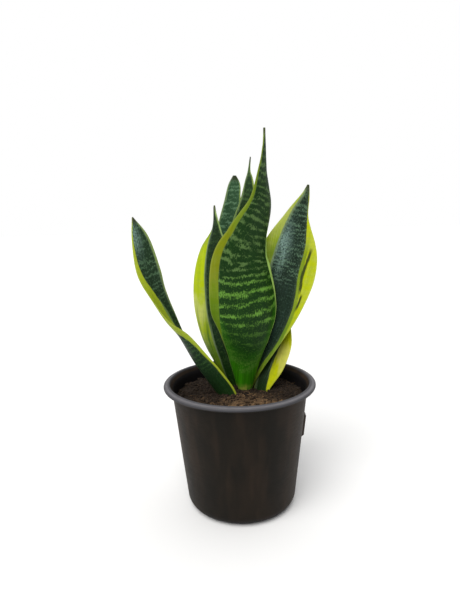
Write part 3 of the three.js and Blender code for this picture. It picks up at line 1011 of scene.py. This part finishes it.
# A pool of painted light on the front middle of the soil; the walls and the rear stay dark as painted
# shade.
LIGHT_POOL_MIDDLE = np.array([10, -45])
LIGHT_POOL_REACH = np.array([44, 31])
HEAP_REACH = 7
HEAP_RISE = 1.2
CRUMB_RINGS = (38, 90, 142)
CRUMB_SIDES = 6
FIBRE_ROWS = 7
FIBRE_SIDES = 4

# The soil's lumps: a largest size, how many sizes, each half the last, a seed and a share of height.
LUMPS = ((17, 2, 3, 0.75), (5.5, 4, 11, 0.55))


def level_points(flat):
    """The points [x, y] as [x, y, 0]."""
    return np.concatenate([flat, np.zeros(flat.shape[:-1] + (1,))], axis=-1)


def soil_height(settings, flat):
    """The soil's height over points [x, y]: a mound, plus lumps, plus a small heap round the line of
    each leaf at its second station, which is at the soil, less the hollow."""
    edge_radius = wall_radius(settings_of("pot"), settings.edge_height, 2)
    reach = np.hypot(flat[..., 0], flat[..., 1]) / edge_radius
    points = level_points(flat)
    lumps = sum(rough(points, size, octaves, seed) * share for size, octaves, seed, share in LUMPS)
    heap = np.zeros(flat.shape[:-1])
    for rows in LEAVES.values():
        x, y, _, half, turn = rows[1][:5]
        run = half * np.array([math.cos(math.radians(turn)), math.sin(math.radians(turn))])
        start = np.array([x, y]) - run
        share = np.clip(((flat - start) @ (2 * run)) / (4 * half * half), 0, 1)
        away = np.linalg.norm(flat - start - share[..., None] * 2 * run, axis=-1)
        heap = np.maximum(heap, np.exp(-((away / HEAP_REACH) ** 2)))
    mound = settings.edge_height + settings.mound * (1 - reach**2)
    hollow = np.exp(-(((flat - HOLLOW_MIDDLE) / HOLLOW_REACH) ** 2).sum(axis=-1))
    rise = settings.lump * lumps * (1 - 0.5 * reach**8) + HEAP_RISE * heap * (1 - hollow)
    return mound + rise - settings.dip * hollow


def front_light_share(flat):
    """How much painted light the soil gets: a bell curve round the middle of the front, times one plus
    noise. The walls and the rear stay dark as painted shade.
    """
    bell = np.exp(-(((flat - LIGHT_POOL_MIDDLE) / LIGHT_POOL_REACH) ** 2).sum(axis=-1))
    return np.clip((0.04 + 0.86 * bell) * (1 + 0.5 * rough(level_points(flat), 15, 2, 21)), 0, 1)


def soil_shell(settings):
    """The soil's skin: floor, rounded foot, wall, then the surface from the wall to the middle. It
    keeps the same gap to the pot all the way up."""
    pot = settings_of("pot")
    inset = pot.wall + SOIL_GAP
    floor = pot.floor_top + SOIL_GAP
    foot = foot_arc(pot, inset, floor, 6)
    edge = wall_point(pot, settings.edge_height - SOIL_BEVEL, inset)
    sides = np.concatenate(
        [
            [[AXIS_RADIUS, floor]],
            line([AXIS_RADIUS, floor], foot[0], 3),
            foot,
            line(foot[-1], edge, 10),
            [edge],
        ]
    )
    radii = np.linspace(edge[0] - 0.3, AXIS_RADIUS - 0.1, SOIL_ROWS)
    top = turned(np.stack([radii, np.zeros(SOIL_ROWS)], axis=-1), SOIL_COLUMNS)
    top[..., 2] = soil_height(settings, top[..., :2])
    return np.concatenate([turned(sides, SOIL_COLUMNS), top])


def scattered(settings, count, random):
    """Random points on the soil, [x, y, z]: the radius is the root of an even number, so that the
    points are evenly spread."""
    reach = wall_radius(settings_of("pot"), settings.edge_height, CRUMB_GAP)
    radius = reach * np.sqrt(random.random(count))
    angle = random.random(count) * 2 * np.pi
    flat = np.stack([radius * np.cos(angle), radius * np.sin(angle)], axis=-1)
    return np.concatenate([flat, soil_height(settings, flat)[:, None]], axis=-1)


def turns(random, count):
    """Random rotation matrices, from the orthogonal parts of random matrices."""
    made, _ = np.linalg.qr(random.normal(size=(count, 3, 3)))
    return made * np.sign(np.linalg.det(made))[:, None, None]


def soil_crumbs(settings, random):
    """Crumbs and how pale each is: dry at random, and paler with the painted light at the front
    middle. A crumb is a lumpy ball: three rings of six points, each pushed in or out at random."""
    count = settings.crumbs
    polar = np.radians(CRUMB_RINGS)[:, None]
    around = np.arange(CRUMB_SIDES) * 2 * np.pi / CRUMB_SIDES
    flat = [np.sin(polar) * np.cos(around), np.sin(polar) * np.sin(around)]
    ball = np.stack([*flat, -np.cos(polar) + 0 * around], axis=-1)
    shape = (count, len(CRUMB_RINGS), CRUMB_SIDES)
    size = np.clip(random.lognormal(-0.15, 0.5, count), 0.35, 3.4)
    lumpy = ball[None] * random.uniform(0.7, 1.25, (*shape, 1))
    lumpy = lumpy * random.uniform(0.6, 1.2, (count, 1, 1, 3)) * size[:, None, None, None]
    lumpy = np.einsum("nij,nrcj->nrci", turns(random, count), lumpy)
    places = scattered(settings, count, random)
    places[:, 2] += size * 0.25
    dry_and_lit = random.random(count) * (0.05 + 0.85 * front_light_share(places[:, :2]))
    return lumpy + places[:, None, None], np.broadcast_to(dry_and_lit[:, None, None], shape)


def soil_fibres(settings, random):
    """Fibres and how pale each is: dry at random, and paler with the painted light at the front
    middle. A fibre is a thin four-sided tube along a line that bends sideways and rises in its middle
    as 1 - 4 u^2, with u from -1/2 to 1/2 along it."""
    count = settings.fibres
    places = scattered(settings, count, random)
    heading = random.random(count) * 2 * np.pi
    span = random.uniform(4, 13, count)
    bend = random.uniform(-0.35, 0.35, count)
    u = np.linspace(-0.5, 0.5, FIBRE_ROWS)
    forward = np.stack([np.cos(heading), np.sin(heading)], axis=-1)[:, None]
    side = forward[..., ::-1] * [-1, 1]
    arch = (1 - 4 * u**2)[None, :, None]
    flat = places[:, None, :2] + span[:, None, None] * (
        u[None, :, None] * forward + bend[:, None, None] * arch * side
    )
    height = places[:, None, 2] + 0.5 + 0.12 * span[:, None] * arch[..., 0]
    thin = random.uniform(0.16, 0.42, count)[:, None, None, None]
    spin = np.arange(FIBRE_SIDES) * 2 * np.pi / FIBRE_SIDES
    ring = np.cos(spin)[:, None] * np.concatenate([side, 0 * side[..., :1]], axis=-1)[:, :, None]
    ring = ring + np.sin(spin)[:, None] * np.array([0, 0, 1])
    spine = np.concatenate([flat, height[..., None]], axis=-1)[:, :, None]
    dry_and_lit = random.uniform(0.3, 1, count) * (0.3 + 0.7 * front_light_share(places[:, :2]))
    shape = (count, FIBRE_ROWS, FIBRE_SIDES)
    return spine + thin * ring, np.broadcast_to(dry_and_lit[:, None, None], shape)


class PLANT_OT_soil(bpy.types.Operator):
    """Fills the pot with soil, and scatters crumbs and fibres over it"""

    bl_idname = "snake_plant.soil"
    bl_label = "Soil"

    def execute(self, context):
        settings = context.scene.soil_settings
        random = np.random.default_rng(5)
        shell = soil_shell(settings)
        # The soil body's paleness is painted light at the front middle and painted shade elsewhere.
        body_light = 0.08 + 0.42 * front_light_share(shell[..., :2])
        piece = skins("soil_body", shell[None], {"crumb": body_light[None]})
        finish_piece(piece, "potting_soil", soil_material("soil", settings))

        shells, dryness_and_light = soil_crumbs(settings, random)
        crumbs = skins("soil_crumbs", shells, {"crumb": dryness_and_light})
        crumbs.data.polygons.foreach_set("use_smooth", np.zeros(len(crumbs.data.polygons), bool))
        finish_piece(crumbs, None, soil_material("soil_crumbs", settings))

        shells, dryness_and_light = soil_fibres(settings, random)
        fibres = skins("soil_fibres", shells, {"crumb": dryness_and_light})
        finish_piece(fibres, None, soil_material("soil_fibres", settings))
        return {"FINISHED"}


# ---- Leaves --------------------------------------------------------------------------------------
LEAF_ROWS = 260
LEAF_COLUMNS = 120
SOIL_LINE = 121
LEAST_HALF_WIDTH = 0.5
RIPPLE_SIZE = 11
RIDGE_SIZE = 1.6
RIDGE_HEIGHT = 0.09

# How far apart the faces of a leaf, and one leaf and the next, lie in the noise, so that no two are
# marked alike.
FACE_OFFSET = 10
RIPPLE_OFFSET = 40.0
LEAF_OFFSET = 37.0


def leaf_skin(rows, settings, seed, reflection):
    """A leaf's closed skin and what its material needs.

    A row of points goes round the leaf's cross-section: s = -cos(a) runs from the left edge to the
    right edge over the face and back behind it. With the half width w and the cup k, the middle
    surface is w sin(k s) / k across and w (1 - cos(k s)) / k outwards. The skin stands off it by half
    the thickness, which thins to the edges as 1 - (1 - e) s^2 and rounds off as sqrt(1 - s^12).
    """
    t = np.linspace(0, len(rows) - 1, LEAF_ROWS)
    values = smooth_rows(rows, t)
    spine = values[:, :3]
    along = unit(np.gradient(spine, axis=0))
    level = unit(np.array([1, 0, 0]) - along[:, :1] * along)
    upright = np.cross(along, level)
    turn = np.radians(values[:, TURN, None])
    across = np.cos(turn) * level + np.sin(turn) * upright
    outward = np.cross(across, along)

    a = np.arange(LEAF_COLUMNS) * 2 * np.pi / LEAF_COLUMNS
    s = -np.cos(a)[None, :]
    face = np.where(a < np.pi, 1.0, -1.0)[None, :]
    half = np.maximum(values[:, HALF_WIDTH, None], LEAST_HALF_WIDTH)
    cup = values[:, CUP, None]
    angle = cup * s
    run = np.concatenate([[0], np.cumsum(np.linalg.norm(np.diff(spine, axis=0), axis=1))])
    height = run - np.interp(SOIL_LINE, spine[:, 2], run)
    height = np.broadcast_to(height[:, None], angle.shape)

    # Slow ripples, long along the leaf, and fine ridges that run its whole length.
    grain = np.stack([s * half, height * 0.35, np.full(angle.shape, RIPPLE_OFFSET * seed)], axis=-1)
    ripple = settings.ripple * rough(grain, RIPPLE_SIZE, 2, seed) * np.minimum(half / 12, 1)
    ridges = noise(grain * [1, 0.06, 1], RIDGE_SIZE, seed + 50) * np.minimum(half / 6, 1)
    ripple = ripple + RIDGE_HEIGHT * ridges
    share = t[:, None] / (len(rows) - 1)
    thickness = settings.base_thickness + (settings.tip_thickness - settings.base_thickness) * share
    thickness = np.minimum(thickness, 1.2 * half + 0.7)
    stand = thickness / 2 * (1 - (1 - settings.edge) * s**2) * np.sqrt(1 - s**12)

    middle = spine[:, None] + (half * np.sin(angle) / cup)[..., None] * across[:, None]
    middle = middle + (half * (1 - np.cos(angle)) / cup)[..., None] * outward[:, None]
    normal = np.cos(angle)[..., None] * outward[:, None] - np.sin(angle)[..., None] * across[:, None]
    skin = middle + (stand * face + ripple)[..., None] * normal

    left = values[:, LEFT_MARGIN, None] - (1 + s) * half
    right = values[:, RIGHT_MARGIN, None] - (1 - s) * half
    layer = FACE_OFFSET * face + LEAF_OFFSET * seed + 0 * angle
    x, y, x_reach, y_reach = reflection
    # Painted reflection: a pale patch of light on the blade, as a bell round its middle.
    reflection_share = np.exp(-(((s * half - x) / x_reach) ** 2) - ((height - y) / y_reach) ** 2)
    facts = {
        "blade": np.stack([s * half, height, layer], axis=-1),
        "margin": np.maximum(left, right),
        "reflection": reflection_share,
        "outline": (1 - np.abs(s)) * half,
        "tip": run[-1] - run[:, None] + 0 * angle,
    }
    return skin, {key: values[None] for key, values in facts.items()}


class PLANT_OT_leaves(bpy.types.Operator):
    """Builds every leaf from its stations"""

    bl_idname = "snake_plant.leaves"
    bl_label = "Leaves"

    def execute(self, context):
        settings = context.scene.leaf_settings
        for seed, (name, rows) in enumerate(LEAVES.items(), 1):
            reflection = PAINTED_REFLECTIONS.get(name, NO_REFLECTION)
            skin, facts = leaf_skin(rows, settings, seed, reflection)
            piece = skins(name + "_blade", skin[None], facts)
            finish_piece(piece, name, LeafShader(name, settings).finished())
        return {"FINISHED"}


class PLANT_OT_rhizome(bpy.types.Operator):
    """Gives the buried rhizome its skin"""

    bl_idname = "snake_plant.rhizome"
    bl_label = "Rhizome"

    def execute(self, context):
        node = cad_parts["rhizome"]
        node.data.materials.clear()
        node.data.materials.append(rhizome_material())
        return {"FINISHED"}


# ---- Stage ---------------------------------------------------------------------------------------
CAMERA_PLACE = Vector((-2.2, -487.8, 303)) * MM
CAMERA_YAW = math.radians(-0.68)
CAMERA_PITCH = math.radians(10.34)
CAMERA_ROLL = math.radians(-1.446)
CAMERA_LENS = 28.19
FLOOR_RADIUS = 12000
FLOOR_TOP = -0.1
FLOOR_BOTTOM = -9.0
SKY_LIGHT = 0.34


def lamp(name, towards, power, spread, tint):
    """A soft, distant lamp that shines from the direction given, spread over that many degrees."""
    data = bpy.data.lights.new(name, "SUN")
    data.angle = math.radians(spread)
    data.energy = power
    data.color = tint
    made = bpy.data.objects.new(name, data)
    made.rotation_euler = Vector(towards).to_track_quat("Z", "Y").to_euler()
    bpy.context.scene.collection.objects.link(made)


class PLANT_OT_stage(bpy.types.Operator):
    """Makes the camera, the soft studio light and the pale floor"""

    bl_idname = "snake_plant.stage"
    bl_label = "Stage"

    def execute(self, context):
        scene = context.scene
        ahead = Vector(
            (
                math.sin(CAMERA_YAW) * math.cos(CAMERA_PITCH),
                math.cos(CAMERA_YAW) * math.cos(CAMERA_PITCH),
                -math.sin(CAMERA_PITCH),
            )
        )
        level = Vector((math.cos(CAMERA_YAW), -math.sin(CAMERA_YAW), 0))
        upright = level.cross(ahead)
        right = level * math.cos(CAMERA_ROLL) + upright * math.sin(CAMERA_ROLL)
        up = upright * math.cos(CAMERA_ROLL) - level * math.sin(CAMERA_ROLL)
        data = bpy.data.cameras.new("camera")
        data.lens = CAMERA_LENS
        camera = bpy.data.objects.new("camera", data)
        facing = Matrix((right, up, -ahead)).transposed().to_4x4()
        camera.matrix_world = Matrix.Translation(CAMERA_PLACE) @ facing
        scene.collection.objects.link(camera)
        scene.camera = camera

        radii = [FLOOR_RADIUS, FLOOR_RADIUS, FLOOR_RADIUS * 0.999, 1]
        heights = [FLOOR_BOTTOM, FLOOR_TOP, FLOOR_TOP, FLOOR_TOP]
        floor = skins("floor", turned(np.stack([radii, heights], axis=-1), 64)[None])
        paint = Shader("floor")
        place = paint.millimetres()
        cloud = paint.noise(place, (0.004,) * 3)
        shade = paint.mix(cloud, (0.86,) * 3, (0.9,) * 3)
        matt = paint.surface(Base_Color=shade, Roughness=1.0, Specular_IOR_Level=0.0)
        floor.data.materials.append(matt)

        world = bpy.data.worlds.new("studio")
        world.use_nodes = True
        tree = world.node_tree
        seen = tree.nodes.new("ShaderNodeLightPath").outputs["Is Camera Ray"]
        strength = tree.nodes.new("ShaderNodeMapRange")
        strength.inputs["To Min"].default_value = SKY_LIGHT
        strength.inputs["To Max"].default_value = 1.0
        tree.links.new(seen, strength.inputs["Value"])
        sky = tree.nodes["Background"]
        sky.inputs["Color"].default_value = (1, 1, 1, 1)
        tree.links.new(strength.outputs[0], sky.inputs["Strength"])
        scene.world = world
        lamp("key", towards=(-0.5, -1.0, 1.35), power=2.7, spread=50, tint=(1, 0.99, 0.97))
        lamp("top", towards=(0.2, 0.5, 1.6), power=1.0, spread=80, tint=(1, 1, 1))
        scene.view_settings.view_transform = "Standard"
        return {"FINISHED"}


# ---- Add-on --------------------------------------------------------------------------------------
class PLANT_PT_panel(bpy.types.Panel):
    """The sidebar panel with the settings and the operators"""

    bl_idname = "PLANT_PT_panel"
    bl_label = "Snake plant"
    bl_space_type = "VIEW_3D"
    bl_region_type = "UI"
    bl_category = "Snake plant"

    def draw(self, context):
        for name in SETTINGS:
            group = getattr(context.scene, name)
            box = self.layout.box()
            for key in group.__annotations__:
                box.prop(group, key)
        for operator in OPERATORS:
            self.layout.operator(operator.bl_idname)


SETTINGS = {
    "pot_settings": PotSettings,
    "soil_settings": SoilSettings,
    "leaf_settings": LeafSettings,
}
OPERATORS = (
    PLANT_OT_pot,
    PLANT_OT_soil,
    PLANT_OT_rhizome,
    PLANT_OT_leaves,
    PLANT_OT_stage,
)
CLASSES = (*SETTINGS.values(), *OPERATORS, PLANT_PT_panel)


def register():
    for item in CLASSES:
        bpy.utils.register_class(item)
    for name, group in SETTINGS.items():
        setattr(bpy.types.Scene, name, PointerProperty(type=group))


def unregister():
    for name in SETTINGS:
        delattr(bpy.types.Scene, name)
    for item in reversed(CLASSES):
        bpy.utils.unregister_class(item)


def main():
    register()
    bpy.ops.snake_plant.pot()
    bpy.ops.snake_plant.soil()
    bpy.ops.snake_plant.rhizome()
    bpy.ops.snake_plant.leaves()
    bpy.ops.snake_plant.stage()


if __name__ == "__main__":
    main()
